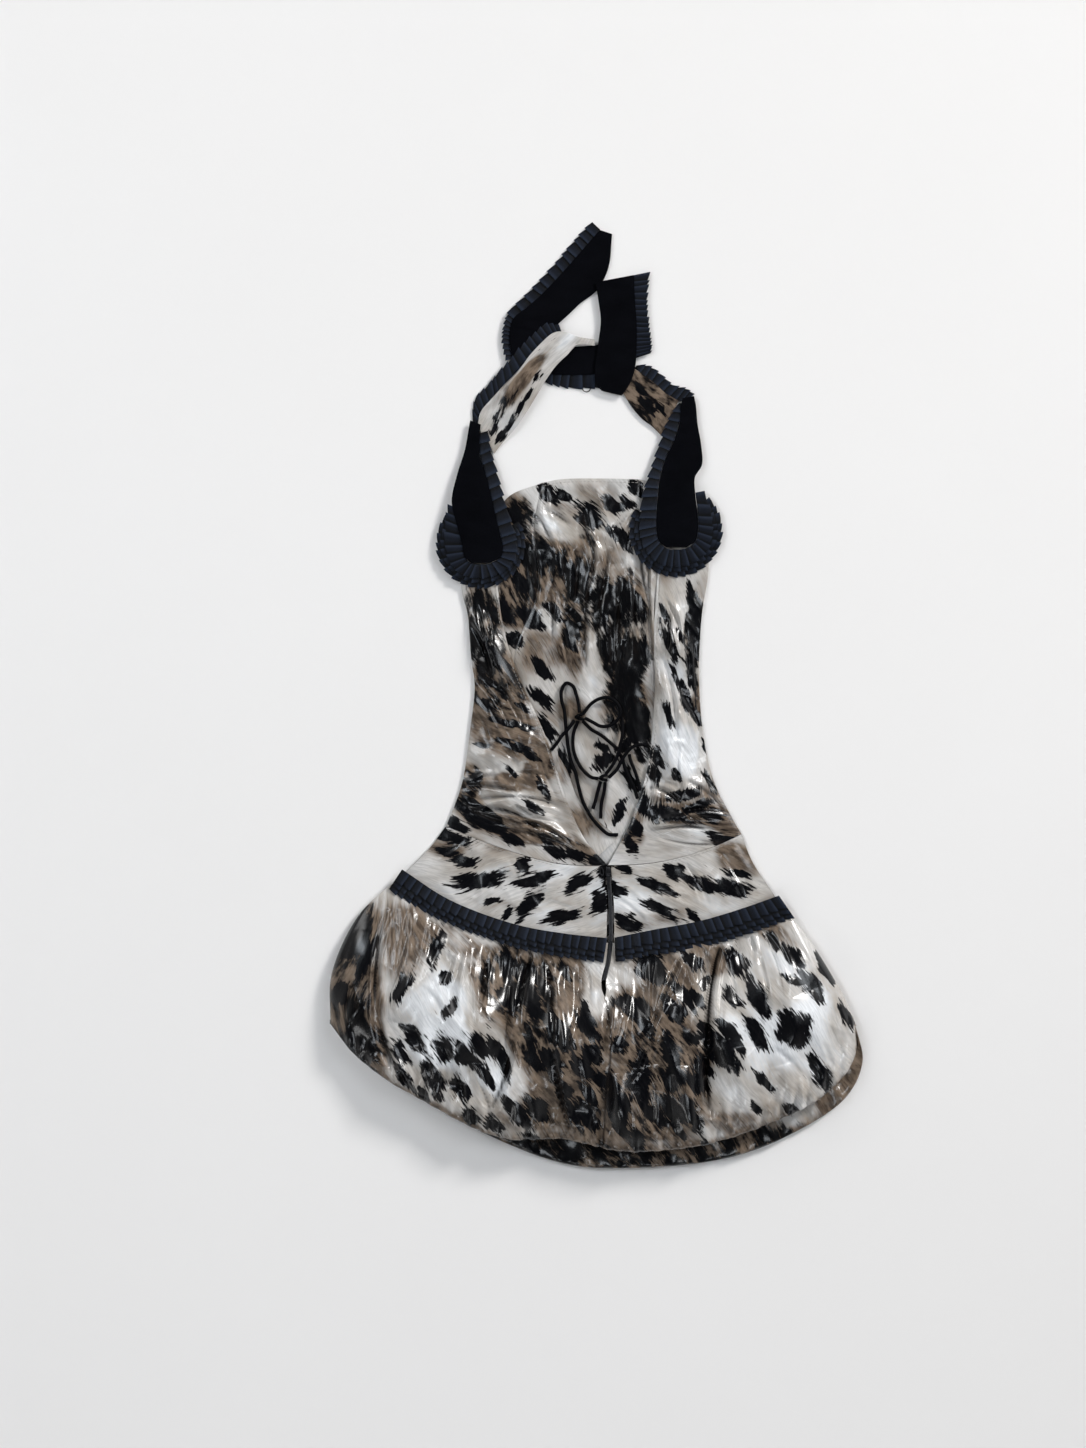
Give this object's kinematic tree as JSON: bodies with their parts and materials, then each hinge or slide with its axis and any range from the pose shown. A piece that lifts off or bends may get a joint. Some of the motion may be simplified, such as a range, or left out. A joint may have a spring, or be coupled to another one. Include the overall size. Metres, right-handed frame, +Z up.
{
  "type": "halter dress",
  "caption": "Short halter dress laid flat with its back up: open laced back, fitted yoke with a zip, gathered bubble skirt and wrap straps edged with pleated ribbon.",
  "frame": {"origin": "on the resting surface under the middle of the dress's box, measured without the lacing", "axes": "+Y towards the neck straps, +X to the right as the back is seen from above, +Z up from the surface, through the back"},
  "size_m": [0.6106, 1.0886, 0.0553],
  "materials": {
    "print_satin": "glossy satin with a spotted fur print in grey, beige, brown and black",
    "black_velvet": "deep black velvet pile",
    "pleated_ribbon": "dark navy grosgrain, knife pleated",
    "lacing_satin": "black satin rouleau cord",
    "zip_tape": "black woven zip",
    "dark_metal": "black enamelled metal"
  },
  "bodies": {
    "dress": {"back_facing_left": "print_satin", "back_wing_left": "print_satin", "back_wing_right": "print_satin", "front_bodice_centre": "print_satin", "front_bodice_side_left": "print_satin", "front_bodice_side_right": "print_satin", "hip_trim_front": "pleated_ribbon", "hip_trim_left_1": "pleated_ribbon", "hip_trim_left_2": "pleated_ribbon", "hip_trim_left_3": "pleated_ribbon", "hip_trim_right_1": "pleated_ribbon", "hip_trim_right_2": "pleated_ribbon", "hip_trim_right_3": "pleated_ribbon", "lace_bow": "lacing_satin", "lace_cross": "lacing_satin", "lace_drop": "lacing_satin", "lace_knot_lower": "lacing_satin", "lace_knot_upper": "lacing_satin", "lace_left": "lacing_satin", "lace_long": "lacing_satin", "lace_right": "lacing_satin", "lace_short": "lacing_satin", "lace_side": "lacing_satin", "lace_tail_left": "lacing_satin", "lace_tail_right": "lacing_satin", "rosette_left_1": "pleated_ribbon", "rosette_left_2": "pleated_ribbon", "rosette_left_3": "pleated_ribbon", "rosette_right_1": "pleated_ribbon", "rosette_right_2": "pleated_ribbon", "rosette_right_3": "pleated_ribbon", "skirt_back_left": "print_satin", "skirt_back_right": "print_satin", "skirt_front": "print_satin", "strap_left_lower_satin": "print_satin", "strap_left_lower_velvet": "black_velvet", "strap_left_tail_satin": "print_satin", "strap_left_tail_trim": "pleated_ribbon", "strap_left_tail_velvet": "black_velvet", "strap_left_upper_satin": "print_satin", "strap_left_upper_trim": "pleated_ribbon", "strap_left_upper_velvet": "black_velvet", "strap_right_band_satin": "print_satin", "strap_right_band_trim": "pleated_ribbon", "strap_right_band_velvet": "black_velvet", "strap_right_lower_satin": "print_satin", "strap_right_lower_velvet": "black_velvet", "strap_right_tail_satin": "print_satin", "strap_right_tail_trim": "pleated_ribbon", "strap_right_tail_velvet": "black_velvet", "strap_right_upper_satin": "print_satin", "strap_right_upper_trim": "pleated_ribbon", "strap_right_upper_velvet": "black_velvet", "yoke_back_left": "print_satin", "yoke_back_right": "print_satin", "yoke_front": "print_satin", "zip_chain": "zip_tape", "zip_eye": "dark_metal", "zip_slider": "dark_metal"},
    "zip_pull": {"zip_pull": "dark_metal"}
  },
  "joints": [
    {"name": "zip_pull_hinge", "type": "hinge", "parent": "dress", "child": "zip_pull", "pos_m": [0.01446, -0.20673, 0.0121], "axis": [-1, 0, 0], "range_deg": [0, 150]}
  ]
}
